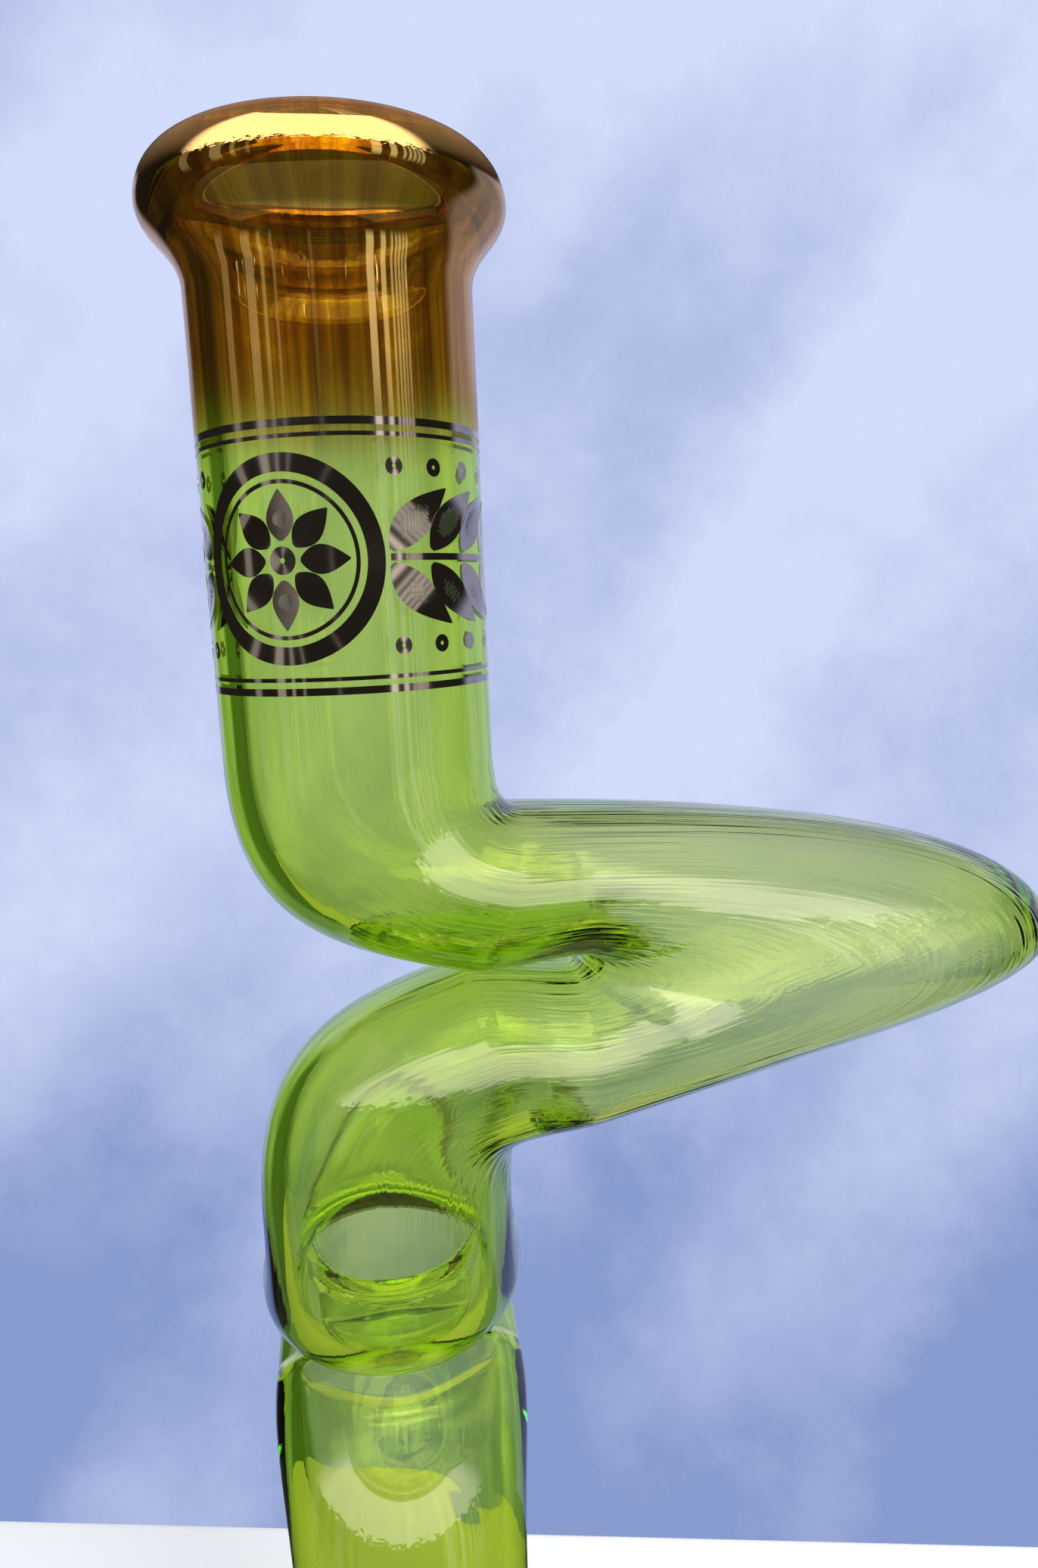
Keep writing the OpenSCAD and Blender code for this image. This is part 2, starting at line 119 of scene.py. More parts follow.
def curve(p0, p1, p2, p3, steps):
    return bezier(p0, p1, p2, p3, np.linspace(0, 1, steps + 1))


def arc(centre, r, start, end, steps):
    a = np.radians(np.linspace(start, end, steps + 1))
    return np.asarray(centre, float) + r * np.c_[np.cos(a), np.sin(a)]


# ---- Kinks: stations of back point, crease point, half width and walls ----

def back_z(x):
    return upper_leg_h - upper_fall * (x - root_x)


def belly_z(x):
    return -lower_leg_h + lower_rise * (x - root_x)


def edge_z(x, side):
    return back_z(x) if side > 0 else belly_z(x)


def bend(side, throat, steps=44):
    t = np.linspace(0, 1, steps + 1)
    s = t * t * (3 - 2 * t)
    end = kink_top if side > 0 else -kink_bottom
    root_z = edge_z(root_x, side)
    corner_x = pinch_x - (pinch_x + tube_r) * corner_share
    corner_z = side * (pinch_z + (pinch_x - corner_x) * crease_slope[side])
    root_len = throat_r * root_share
    outer = bezier([tube_r, end], [tube_r, root_z + side * root_len],
                   [tube_r + root_len, root_z], [root_x, root_z], t)
    inner = bezier([-tube_r, end], [-tube_r, end * fall_share],
                   [corner_x, corner_z], [pinch_x, side * pinch_z], t)
    return outer, inner, mix(tube_r, kink_width / 2, s), np.c_[
        mix(wall, throat, s), mix(wall, crease_wall, np.sin(t * math.pi / 2)), mix(wall, bend_wall, s)]


def leg(side, throat, crease_x, leg_x, steps=14):
    t = np.arange(1, steps + 1) / steps
    s = t * t * (3 - 2 * t)
    x = mix(root_x, leg_x, t)
    outer = np.c_[x, edge_z(x, side)]
    inner = bezier([pinch_x, side * pinch_z], [mix(pinch_x, crease_x, crease_near), side * pinch_z],
                   [mix(pinch_x, crease_x, crease_far), side * crease_r],
                   [crease_x, side * crease_r], t)
    walls = np.c_[mix(throat, back_wall, s), np.full(steps, crease_wall), mix(bend_wall, side_wall, s)]
    return outer, inner, np.full(steps, kink_width / 2), walls


def lobe(crease_x, leg_x, steps=44):
    tip = np.array([kink_reach, -tip_drop])
    run = kink_reach - leg_x
    back = np.array([leg_x, back_z(leg_x)])
    belly = np.array([leg_x, belly_z(leg_x)])
    back_x, belly_x = leg_x + run * back_share, leg_x + run * belly_share
    over = curve(back, [back_x, back_z(back_x)],
                 tip + [0, over_share * (back[1] - tip[1])], tip, steps)
    under = curve(tip, tip - [0, under_share * (tip[1] - belly[1])],
                  [belly_x, belly_z(belly_x)], belly, steps)
    path = np.r_[over, under[1:]]
    last = len(path) - 1
    turn = np.radians(90 - 180 * np.arange(1, last) / last)
    inner = np.c_[crease_x + crease_r * np.cos(turn), crease_r * np.sin(turn)]
    tipness = np.cos(turn) ** 4
    walls = np.c_[mix(back_wall, tip_wall, tipness), np.full(last - 1, crease_wall),
                  np.full(last - 1, side_wall)]
    return path[1:last], inner, np.full(last - 1, kink_width / 2), walls


def kink_rings(inside, turned, level, crease_x):
    """Rings of a kink from its top to its bottom, as an array of rings x points x 3."""
    leg_x = max(crease_x + 1, root_x + least_leg)
    throats = {1: throat_wall, -1: throat_wall} if turned else upper_throats
    parts = [bend(1, throats[1]), leg(1, throats[1], crease_x, leg_x), lobe(crease_x, leg_x),
             tuple(p[::-1] for p in leg(-1, throats[-1], crease_x, leg_x)),
             tuple(p[::-1] for p in bend(-1, throats[-1]))]
    outer, inner, width, walls = (np.concatenate([p[i] for p in parts]) for i in range(4))
    if inside:
        along = (inner - outer) / np.linalg.norm(inner - outer, axis=1)[:, None]
        outer, inner = outer + walls[:, :1] * along, inner - walls[:, 1:2] * along
        width = width - walls[:, 2]
    angle = ROUND - (math.pi / 2 if turned else 0)
    middle, reach = (outer + inner) / 2, (outer - inner) / 2
    egg = egg_share * np.clip((middle[:, 0] - leg_x) / tube_r, 0, 1)[:, None]
    x = middle[:, :1] + reach[:, :1] * np.cos(angle)
    z = middle[:, 1:] + reach[:, 1:] * np.cos(angle)
    y = width[:, None] * np.sin(angle) * (1 - egg * np.cos(angle))
    return np.stack([-y, x, z + level] if turned else [x, y, z + level], -1)


# ---- Meshes ----

def turned_rings(profile):
    """The points of an outline turned round the z axis: rings x points x 3."""
    r, z = np.asarray(profile, float).T
    return np.stack([r[:, None] * np.cos(ROUND), r[:, None] * np.sin(ROUND),
                     np.repeat(z[:, None], RING, 1)], -1)


def dense(points, gap):
    """The same outline with no step longer than gap."""
    out = [points[0]]
    for a, b in zip(points[:-1], points[1:]):
        a, b = np.asarray(a, float), np.asarray(b, float)
        steps = max(1, int(math.ceil(np.linalg.norm(b - a) / gap)))
        out += [mix(a, b, (i + 1) / steps) for i in range(steps)]
    return np.array(out)


def make_object(name, verts, faces, material, place=Matrix.Identity(4)):
    mesh = bpy.data.meshes.new(name)
    mesh.from_pydata([tuple(v) for v in np.asarray(verts) * MM], [], faces)
    mesh.validate()
    mesh.transform(place)
    mesh.shade_smooth()
    obj = bpy.data.objects.new(name, mesh)
    bpy.context.scene.collection.objects.link(obj)
    obj.data.materials.append(material)
    return obj


def ring_faces(rings, closed=False):
    faces = []
    for i in range(rings if closed else rings - 1):
        a, b = i * RING, (i + 1) % rings * RING
        faces += [(a + k, a + (k + 1) % RING, b + (k + 1) % RING, b + k) for k in range(RING)]
    return faces


def set_point(obj, name, values, kind="FLOAT"):
    values = np.asarray(values, np.float32)
    attribute = obj.data.attributes.new(name, kind, "POINT")
    attribute.data.foreach_set("vector" if kind == "FLOAT_VECTOR" else "value", values.ravel())


def flow_of(rings):
    """Place of each point on the tube if it were pulled straight, with the way along it as z."""
    centres = rings.mean(1)
    along = np.r_[0, np.cumsum(np.linalg.norm(np.diff(centres, axis=0), axis=1))]
    return turned_rings(np.c_[np.full(len(rings), tube_r), along])


def lathe(name, profile, material, place=Matrix.Identity(4), gap=2.0):
    """A closed outline turned round its own z axis."""
    outline = dense(list(profile) + [profile[0]], gap)[:-1]
    rings = turned_rings(outline)
    faces = ring_faces(len(rings), closed=True)
    return make_object(name, rings.reshape(-1, 3), faces, material, place)


def capped(rings, start_z, end_z):
    """Points and faces of rings whose first and last are closed on the axis."""
    count = len(rings) * RING
    points = np.concatenate([rings.reshape(-1, 3), [[0, 0, start_z], [0, 0, end_z]]])
    faces = ring_faces(len(rings))
    faces += [(count, (k + 1) % RING, k) for k in range(RING)]
    faces += [(count + 1, count - RING + k, count - RING + (k + 1) % RING) for k in range(RING)]
    return points, faces


def turned_solid(name, profile, material, place, gap=2.0):
    """An outline from one end of its z axis to the other, turned into a solid."""
    outline = dense(profile, gap)
    rings = turned_rings(outline[1:-1])
    return make_object(name, *capped(rings, outline[0][1], outline[-1][1]), material, place)


# ---- Node helpers ----

def new_material(name):
    material = bpy.data.materials.new(name)
    material.use_nodes = True
    nodes = material.node_tree.nodes
    nodes.clear()
    out = nodes.new("ShaderNodeOutputMaterial")
    shader = nodes.new("ShaderNodeBsdfPrincipled")
    material.node_tree.links.new(shader.outputs[0], out.inputs["Surface"])
    return material, shader, out


class Tree:
    """Short calls for the few kinds of node used here."""

    def __init__(self, tree):
        self.nodes, self.links = tree.nodes, tree.links

    def put(self, socket, value):
        if isinstance(value, bpy.types.NodeSocket):
            self.links.new(value, socket)
        else:
            socket.default_value = value

    def math(self, op, a, b=0.0, c=0.0, clamp=False):
        node = self.nodes.new("ShaderNodeMath")
        node.operation, node.use_clamp = op, clamp
        for socket, value in zip(node.inputs, (a, b, c)):
            self.put(socket, value)
        return node.outputs[0]

    def ramp(self, value, low, high, start=0.0, end=1.0):
        node = self.nodes.new("ShaderNodeMapRange")
        node.interpolation_type = "SMOOTHSTEP"
        for socket, x in zip(node.inputs, (value, low, high, start, end)):
            self.put(socket, x)
        return node.outputs[0]

    def blend(self, factor, a, b):
        node = self.nodes.new("ShaderNodeMix")
        node.data_type = "RGBA"
        self.put(node.inputs["Factor"], factor)
        self.put(node.inputs["A"], a)
        self.put(node.inputs["B"], b)
        return node.outputs["Result"]

    def attribute(self, name, output="Fac"):
        node = self.nodes.new("ShaderNodeAttribute")
        node.attribute_name = name
        return node.outputs[output]

    def scaled(self, vector, scale, turn=(0, 0, 0)):
        node = self.nodes.new("ShaderNodeMapping")
        self.put(node.inputs["Vector"], vector)
        node.inputs["Scale"].default_value = scale
        node.inputs["Rotation"].default_value = turn
        return node.outputs[0]

    def noise(self, vector, scale, detail, rough):
        node = self.nodes.new("ShaderNodeTexNoise")
        self.put(node.inputs["Vector"], vector)
        node.inputs["Scale"].default_value = scale
        node.inputs["Detail"].default_value = detail
        node.inputs["Roughness"].default_value = rough
        return node.outputs["Fac"]

    def bump(self, height, distance):
        node = self.nodes.new("ShaderNodeBump")
        self.put(node.inputs["Height"], height)
        self.put(node.inputs["Distance"], distance)
        return node.outputs[0]

    def position(self):
        node = self.nodes.new("ShaderNodeTexCoord")
        return node.outputs["Object"]

    def split(self, vector):
        node = self.nodes.new("ShaderNodeSeparateXYZ")
        self.put(node.inputs[0], vector)
        return node.outputs


# ---- Materials ----

def green_glass():
    """Glass that is greener the more of it a ray crosses, with streaks where it was drawn out."""
    material, shader, out = new_material("green_glass")
    tree = Tree(material.node_tree)
    shader.inputs["IOR"].default_value = 1.47
    shader.inputs["Transmission Weight"].default_value = 1.0
    shader.inputs["Roughness"].default_value = 0.0
    shader.inputs["Base Color"].default_value = (1, 1, 1, 1)
    flow = tree.attribute("flow", "Vector")
    fine = tree.noise(tree.scaled(flow, (1, 1, 0.03)), 900.0, 1.0, 0.5)
    broad = tree.noise(tree.scaled(flow, (1, 1, 0.12)), 130.0, 1.0, 0.5)
    height = tree.math("ADD", tree.math("MULTIPLY", fine, 0.55), tree.math("MULTIPLY", broad, 0.6))
    drawn = tree.attribute("drawn")
    tree.put(shader.inputs["Normal"], tree.bump(height, tree.math("MULTIPLY", drawn, 0.00003)))
    volume = tree.nodes.new("ShaderNodeVolumeAbsorption")
    volume.inputs["Color"].default_value = (0.825, 0.956, 0.06, 1)
    volume.inputs["Density"].default_value = 250.0
    tree.links.new(volume.outputs[0], out.inputs["Volume"])
    return material


def clear_glass():
    """Clear glass, frosted where its cones are ground."""
    material, shader, _ = new_material("clear_glass")
    tree = Tree(material.node_tree)
    shader.inputs["Base Color"].default_value = (0.97, 1.0, 0.98, 1)
    shader.inputs["IOR"].default_value = 1.47
    shader.inputs["Transmission Weight"].default_value = 1.0
    ground = tree.attribute("ground")
    grit = tree.noise(tree.position(), 2600.0, 3.0, 0.7)
    frosted = tree.ramp(grit, 0.3, 0.7, 0.35, 0.5)
    tree.put(shader.inputs["Roughness"], tree.math("MULTIPLY", ground, frosted))
    tree.put(shader.inputs["Normal"], tree.bump(grit, tree.math("MULTIPLY", ground, 0.00006)))
    return material


def lustre_film():
    """Gold fired on the lip: a mirror that lets amber light through and fades out down the neck."""
    material, shader, out = new_material("lustre_film")
    tree = Tree(material.node_tree)
    film = tree.attribute("film")
    flow = tree.attribute("flow", "Vector")
    edge = tree.nodes.new("ShaderNodeLayerWeight")
    edge.inputs["Blend"].default_value = 0.5
    facing = edge.outputs["Facing"]
    cloud = tree.noise(tree.scaled(flow, (1, 1, 0.5)), 90.0, 4.0, 0.6)
    streak = tree.noise(tree.scaled(flow, (1, 1, 0.02)), 420.0, 3.0, 0.65)
    gold = tree.blend(tree.ramp(cloud, 0.35, 0.7), (1.0, 0.75, 0.28, 1), (0.97, 0.66, 0.24, 1))
    tree.put(shader.inputs["Base Color"], tree.blend(facing, gold, (0.95, 0.52, 0.30, 1)))
    shader.inputs["Metallic"].default_value = 1.0
    tree.put(shader.inputs["Roughness"], tree.ramp(cloud, 0.3, 0.8, 0.02, 0.05))
    clear_part = tree.nodes.new("ShaderNodeBsdfTransparent")
    tint = tree.blend(tree.ramp(streak, 0.36, 0.62), (0.52, 0.20, 0.09, 1), (0.95, 0.50, 0.15, 1))
    tree.put(clear_part.inputs["Color"], tree.blend(film, (1, 1, 1, 1), tint))
    mirror = tree.math("MULTIPLY_ADD", tree.math("POWER", facing, 4.0), 0.7, 0.27)
    share = tree.math("MULTIPLY", film, mirror)
    mixer = tree.nodes.new("ShaderNodeMixShader")
    tree.put(mixer.inputs[0], share)
    tree.links.new(clear_part.outputs[0], mixer.inputs[1])
    tree.links.new(shader.outputs[0], mixer.inputs[2])
    tree.links.new(mixer.outputs[0], out.inputs["Surface"])
    return material


def bronze_film():
    """Dark lustre print."""
    material, shader, _ = new_material("bronze_film")
    tree = Tree(material.node_tree)
    cloud = tree.noise(tree.position(), 60.0, 3.0, 0.5)
    tree.put(shader.inputs["Base Color"],
             tree.blend(cloud, (0.30, 0.23, 0.20, 1), (0.42, 0.36, 0.36, 1)))
    shader.inputs["Metallic"].default_value = 1.0
    tree.put(shader.inputs["Roughness"], tree.ramp(cloud, 0.2, 0.8, 0.05, 0.14))
    return material


def table_top():
    """White cloth on a table, with painted shade: dark to a mirror ray, and a duller olive, a painted
    shadow, to one that comes through the glass.
    """
    material, shader, _ = new_material("table_top")
    tree = Tree(material.node_tree)
    speck = tree.noise(tree.position(), 9.0, 4.0, 0.6)
    top = tree.blend(speck, (0.80, 0.81, 0.84, 1), (0.86, 0.87, 0.89, 1))
    path = tree.nodes.new("ShaderNodeLightPath")
    through = path.outputs["Is Transmission Ray"]
    mirrored = tree.math("SUBTRACT", path.outputs["Is Glossy Ray"], through, clamp=True)
    # Painted shadow: rays through the glass see the cloth as a duller olive.
    top = tree.blend(through, top, (0.43, 0.43, 0.27, 1))
    # Painted shade: mirrored rays see the cloth almost black.
    tree.put(shader.inputs["Base Color"], tree.blend(mirrored, top, (0.03, 0.04, 0.012, 1)))
    tree.put(shader.inputs["Roughness"], tree.ramp(speck, 0.3, 0.7, 0.45, 0.6))
    return material


glass = green_glass()
clear = clear_glass()
bronze = bronze_film()
lustre = lustre_film()


# ---- The pipe: one skin outside and one inside, joined at the lip ----

lip_rise = 12.2
lip_wall = 4.8
lip_low, lip_full = 0.55, 0.65  # where the flare starts and where it is full, as shares of its rise
film_t = 0.04
mouth_z = neck_hi[2]
lip_r = lip_hi[0]
nose_r = lip_wall / 2
roll_r = lip_hi[2] - mouth_z - lip_rise
roll_x = lip_r - roll_r
inner_roll_r = roll_r - lip_wall
base_r = base_hi[0]
base_corner = 11.0
base_t = 6.0
middle_r = 0.5  # the bottom's innermost ring
shoulder_z = 88.0
shoulder_blend = 12.0
chamber_top = lower_lo[2]


def cone_line(centre, r, corner):
    """Where a straight line down from the corner touches the round edge of the base."""
    to_corner = np.subtract(corner, centre)
    half_turn = math.acos(r / np.linalg.norm(to_corner))
    angle = math.degrees(math.atan2(to_corner[1], to_corner[0]) - half_turn)
    touch = arc(centre, r, angle, angle, 1)[0]
    return np.array(centre, float), touch, np.array(corner, float), r, angle


def chamber_outline(line, tube):
    centre, touch, corner, r, angle = line
    run = (touch - corner) / np.linalg.norm(touch - corner)
    return np.r_[arc(centre, r, -90, angle, 16),
                 curve(corner + run * shoulder_blend, corner + run * shoulder_blend / 3,
                       [tube, corner[1] + shoulder_blend / 3], [tube, chamber_top], 24)]


outer_cone = cone_line([base_r - base_corner, base_corner], base_corner, [tube_r, shoulder_z])
inner_corner = base_corner - wall
inner_cone = cone_line([base_r - wall - inner_corner, base_t + inner_corner], inner_corner,
                       [bore_r, shoulder_z - wall / 3])


def tube_rings(r, low, high, gap=4.0):
    return turned_rings(dense([[r, low], [r, high]], gap))


def lip_line(inside):
    """Outline of the lip from the neck up; it stays a film's thickness below the top."""
    if inside:
        line = np.r_[curve([bore_r, 0], [bore_r, lip_low * lip_rise],
                           [roll_x + inner_roll_r, lip_full * lip_rise],
                           [roll_x + inner_roll_r, lip_rise], 24),
                     arc([roll_x, lip_rise], inner_roll_r, 10, 90, 10)]
    else:
        line = np.r_[curve([tube_r, 0], [tube_r, lip_low * lip_rise], [lip_r, lip_full * lip_rise],
                           [lip_r, lip_rise], 28),
                     arc([roll_x, lip_rise], roll_r, 5, 90, 24),
                     arc([roll_x, lip_rise + roll_r - nose_r], nose_r, 100, 250, 20)]
    return line * [1, 1 - 2 * film_t / (lip_rise + roll_r)] + [0, mouth_z]


def skin(inside):
    """Rings of one skin from the middle of the bottom up to the lip."""
    r = bore_r if inside else tube_r
    line = inner_cone if inside else outer_cone
    floor_z = base_t if inside else 0.0
    bottom = dense([[middle_r, floor_z], [line[0][0], floor_z]], 3.0)
    chamber = np.r_[bottom[:-1], dense(chamber_outline(line, r), 2.5)]
    lower = kink_rings(inside, True, lower_crease, lower_crease_x)[::-1]
    upper = kink_rings(inside, False, upper_crease, upper_crease_x)[::-1]
    tubes = [tube_rings(r, chamber_top, lower_crease - kink_bottom)[1:-1], lower, upper[1:],
             tube_rings(r, neck_lo[2], mouth_z, 2.0)[1:-1], turned_rings(lip_line(inside))]
    return np.concatenate([turned_rings(chamber)] + tubes)


outside, inside = skin(False), skin(True)[::-1]
scoop_half_w, scoop_half_h, scoop_sink = 12.0, 5.5, 1.6
scoop_drop, scoop_back = 7.5, 12.0  # how far under the crease it is, and where it ends at the back


def scoop_of(points):
    """Where the glass sank a little as the lower kink was folded: under its crease, in front."""
    x, y, z = points[..., 0], points[..., 1], points[..., 2]
    across, up = x / scoop_half_w, (z - lower_crease + scoop_drop) / scoop_half_h
    return np.exp(-across ** 2 - up ** 2) * (y < scoop_back)


outside += scoop_of(outside)[..., None] * [0, scoop_sink, -scoop_sink]
verts, faces = capped(np.concatenate([outside, inside]), 0, base_t)
pipe = make_object("pipe_glass", verts, faces, glass)

flow = np.concatenate([flow_of(outside), flow_of(inside[::-1])[::-1]]).reshape(-1, 3)
set_point(pipe, "flow", np.r_[flow, np.zeros((2, 3))] * MM, "FLOAT_VECTOR")
height = verts[:, 2]


def between(z, low, high, soft=8):
    """1 from low to high, easing to 0 at both ends, and 0 beyond them."""
    return np.clip((z - low) / soft, 0, 1) * np.clip((high - z) / soft, 0, 1)


# How far the glass was drawn out at each point, which sets how deep its streaks are
drawn = between(height, lower_crease - kink_bottom, upper_crease + kink_top)
stretched = between(height, upper_crease - kink_bottom, upper_crease + kink_top)
stretched *= np.clip((verts[:, 0] + 5) / 25, 0, 1)
scoop = np.r_[scoop_of(outside).ravel(), np.zeros(len(verts) - outside[..., 0].size)]
set_point(pipe, "drawn", 0.25 + 0.25 * drawn + 5.0 * stretched + scoop)

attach(pipe, "pipe")
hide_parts("mouthpiece", "neck_tube", "upper_kink_top_leg", "upper_kink_bottom_leg",
            "lower_kink_top_leg", "lower_kink_bottom_leg", "lower_tube", "beaker", "base")

# ---- Gold film on the lip and the top of the neck ----

film_drop, film_fade = 28.0, 17.0
film_over, film_under = 1.4, 0.6  # its two faces' heights over the glass, in film_t
line = np.r_[dense([[tube_r, mouth_z - film_drop], [tube_r, mouth_z]], 2.0)[:-1], lip_line(False)]
out_way = np.gradient(line, axis=0) @ np.array([[0, -1], [1, 0]])
out_way /= np.linalg.norm(out_way, axis=1)[:, None]
layers = [turned_rings(line + out_way * film_t * film_over),
          turned_rings(line + out_way * film_t * film_under)[::-1]]
rings = np.concatenate(layers)
film = make_object("lip_lustre", rings.reshape(-1, 3), ring_faces(len(rings), closed=True), lustre)
fade = np.clip((layers[0][:, :, 2] - (mouth_z - film_drop + 1)) / film_fade, 0, 1)
fade = (fade * fade * (3 - 2 * fade)).ravel()
set_point(film, "film", np.r_[fade, np.zeros(len(fade))])
set_point(film, "flow", np.concatenate([flow_of(layer) for layer in layers]) * MM, "FLOAT_VECTOR")
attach(film, "pipe")

# ---- Stem and bowl: along their own axis, with zero at the socket's mouth ----

lean = math.radians(45)
stem_r, stem_bore_r = 6.0, 4.0
taper_run = 20  # length in which a ground cone grows by 1 in radius
thin_wall = 2.2
fit = 0.03  # running gap of a ground joint
weld_gap = 0.05  # gap left at a weld, so that two pieces don't overlap
edge_r = 1.0
ease = 3.0  # length of each half of a stem's S bend from one radius to another
socket_r, socket_len, socket_neck, socket_wall = 9.4, 22.0, 12.0, 2.6
socket_foot_r = socket_r - socket_len / taper_run
neck_bore_r = socket_foot_r + 0.3
neck_or = neck_bore_r + thin_wall
bead_r = 1.3
flare_w, flare_h = 3.0, 5.0
stem_head = 14.0
tip_gap = 5.0
slits, slit_h, slit_half_w = 6, 12.0, 0.6
bowl_r, bowl_joint_len = 7.25, 18.0
bowl_foot_r = bowl_r - bowl_joint_len / taper_run
bowl_bore_r = bowl_foot_r - thin_wall
bowl_neck_r = bowl_r - 0.7
bowl_foot = stem_head - bowl_joint_len
bowl_z = stem_head + 6
cup_r, cup_h, cup_wall = 12.5, 24.0, 2.6
cup_turn, cup_full = 0.22, 0.6  # heights of its side's handle and of its widest ring, in cup_h
cup_floor_t, cup_floor_r, draught_r = 4.0, 3.75, 1.75
handle_len, handle_sink = 17.0, 1.6
root_r, waist_r, knob_r = 3.2, 2.2, 4.4
cone_slope = (outer_cone[1][0] - tube_r) / (shoulder_z - outer_cone[1][1])
tip_z = base_t + tip_gap + stem_r * math.sin(lean)
stem_run = socket_len + socket_neck + (tube_r + (shoulder_z - tip_z) * cone_slope) / (
    math.sin(lean) + cone_slope * math.cos(lean))
socket_at = np.array([0, -stem_run * math.sin(lean), tip_z + stem_run * math.cos(lean)])
stem_place = Matrix.Translation(socket_at * MM) @ Matrix.Rotation(lean, 4, "X")
# Heights along the stem: the drill's ends, and one that is outside the chamber all round
drill_low, drill_high, hole_high = -60.0, 10.0, -10.0


def on_cone(r, line):
    """Heights along the stem's axis where lines beside it at r meet a skin of the cone."""
    touch, corner = line[1], line[2]
    slope = (touch[0] - corner[0]) / (corner[1] - touch[1])
    low, high = np.full(RING, drill_low), np.full(RING, hole_high)
    for _ in range(40):
        t = (low + high) / 2
        across = r * np.sin(ROUND)
        y = socket_at[1] - t * math.sin(lean) + across * math.cos(lean)
        z = socket_at[2] + t * math.cos(lean) + across * math.sin(lean)
        out = np.hypot(r * np.cos(ROUND), y) > corner[0] + (corner[1] - z) * slope
        low, high = np.where(out, low, t), np.where(out, t, high)
    return t


def wavy_ring(r, heights):
    return np.stack([r * np.cos(ROUND), r * np.sin(ROUND), heights], -1)


def carve(obj, other, how="DIFFERENCE"):
    """Take the other solid away from the object, or join it, for good."""
    tool = obj.modifiers.new("carve", "BOOLEAN")
    tool.object, tool.solver, tool.operation = other, "EXACT", how
    solid = obj.evaluated_get(bpy.context.evaluated_depsgraph_get())
    obj.data, mesh = bpy.data.meshes.new_from_object(solid), obj.data
    obj.modifiers.clear()
    bpy.data.meshes.remove(mesh)
    bpy.data.objects.remove(other)


def ground_between(obj, spans):
    """Frost the ground cones: each span is low, high and the cone's radius in the middle."""
    points = np.empty(len(obj.data.vertices) * 3)
    obj.data.vertices.foreach_get("co", points)
    back = np.array(stem_place.inverted())
    local = points.reshape(-1, 3) @ back[:3, :3].T + back[:3, 3]
    r, z = np.hypot(local[:, 0], local[:, 1]) / MM, local[:, 2] / MM
    frost = np.zeros(len(r))
    for low, high, middle in spans:
        off = abs(r - middle - (z - (low + high) / 2) / taper_run)
        frost[(z > low - 0.1) & (z < high + 0.1) & (off < 0.12)] = 1
    set_point(obj, "ground", frost)


# Socket: its foot follows the cone and flares onto it, and its tube lines the hole
socket_or = socket_r + socket_wall
rings = []
for u in np.linspace(1, 0, 11):
    r = neck_or + flare_w * u * u
    rings.append(wavy_ring(r, on_cone(r, outer_cone) + weld_gap + flare_h * (1 - u) ** 2))
bell = np.r_[curve([neck_or, -socket_len - 3], [neck_or, -socket_len - 1],
                   [socket_or, -socket_len - 1], [socket_or, -socket_len + 3], 12),
             arc([socket_or, -bead_r], bead_r, -90, 90, 16),
             [[socket_r, 0], [socket_foot_r, -socket_len], [neck_bore_r, -socket_len - 1.5]]]
rings += list(turned_rings(dense(bell, 2.0)))
rings += [wavy_ring(neck_bore_r, on_cone(neck_bore_r, inner_cone)),
          wavy_ring(neck_or, on_cone(neck_or, inner_cone)),
          wavy_ring(neck_or, on_cone(neck_or, outer_cone) - 0.2)]
faces = ring_faces(len(rings), closed=True)
socket = make_object("socket_glass", np.concatenate(rings), faces, clear, stem_place)
ground_between(socket, [(-socket_len, 0, (socket_r + socket_foot_r) / 2)])
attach(socket, "pipe")
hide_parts("stem_socket")
drill_r = neck_or + weld_gap
drill = [[0, drill_low], [drill_r, drill_low], [drill_r, drill_high], [0, drill_high]]
carve(pipe, turned_solid("drill", drill, clear, stem_place, 80))

# Stem: ground cone, head and tube in one, with slits at its tip
outline = np.r_[
    arc([stem_r - edge_r, -stem_run + edge_r], edge_r, -180, 0, 10),
    curve([stem_r, -socket_len - 2 * ease], [stem_r, -socket_len - ease],
          [socket_foot_r - fit, -socket_len - ease], [socket_foot_r - fit, -socket_len], 12),
    curve([socket_r - fit, 0], [socket_r - fit, ease],
          [socket_r + edge_r, ease], [socket_r + edge_r, 2 * ease], 12),
    arc([socket_r, stem_head - edge_r], edge_r, 0, 90, 8),
    [[bowl_r, stem_head], [bowl_foot_r, bowl_foot]],
    curve([bowl_foot_r, bowl_foot - 1], [bowl_foot_r, bowl_foot - 4],
          [stem_bore_r, bowl_foot - 4], [stem_bore_r, bowl_foot - 8], 12)]
stem = lathe("stem_glass", outline, clear, stem_place)
blades = [Matrix.Rotation(math.radians(360 / slits * i), 3, "Z") @ Vector((x, y, z))
          for i in range(slits) for z in (-stem_run - 1, -stem_run + slit_h)
          for y in (-slit_half_w, slit_half_w) for x in (2, 12)]
faces = [tuple(8 * i + k for k in face) for i in range(slits) for face in BOX_FACES]
carve(stem, make_object("saw", blades, faces, clear, stem_place))
stem.data.set_sharp_from_angle(angle=math.radians(40))
ground_between(stem, [(-socket_len, 0, (socket_r + socket_foot_r) / 2 - fit),
                      (bowl_foot, stem_head, (bowl_r + bowl_foot_r) / 2)])
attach(stem, "downstem")
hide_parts("stem_joint", "stem_tube", "diffuser_tip")

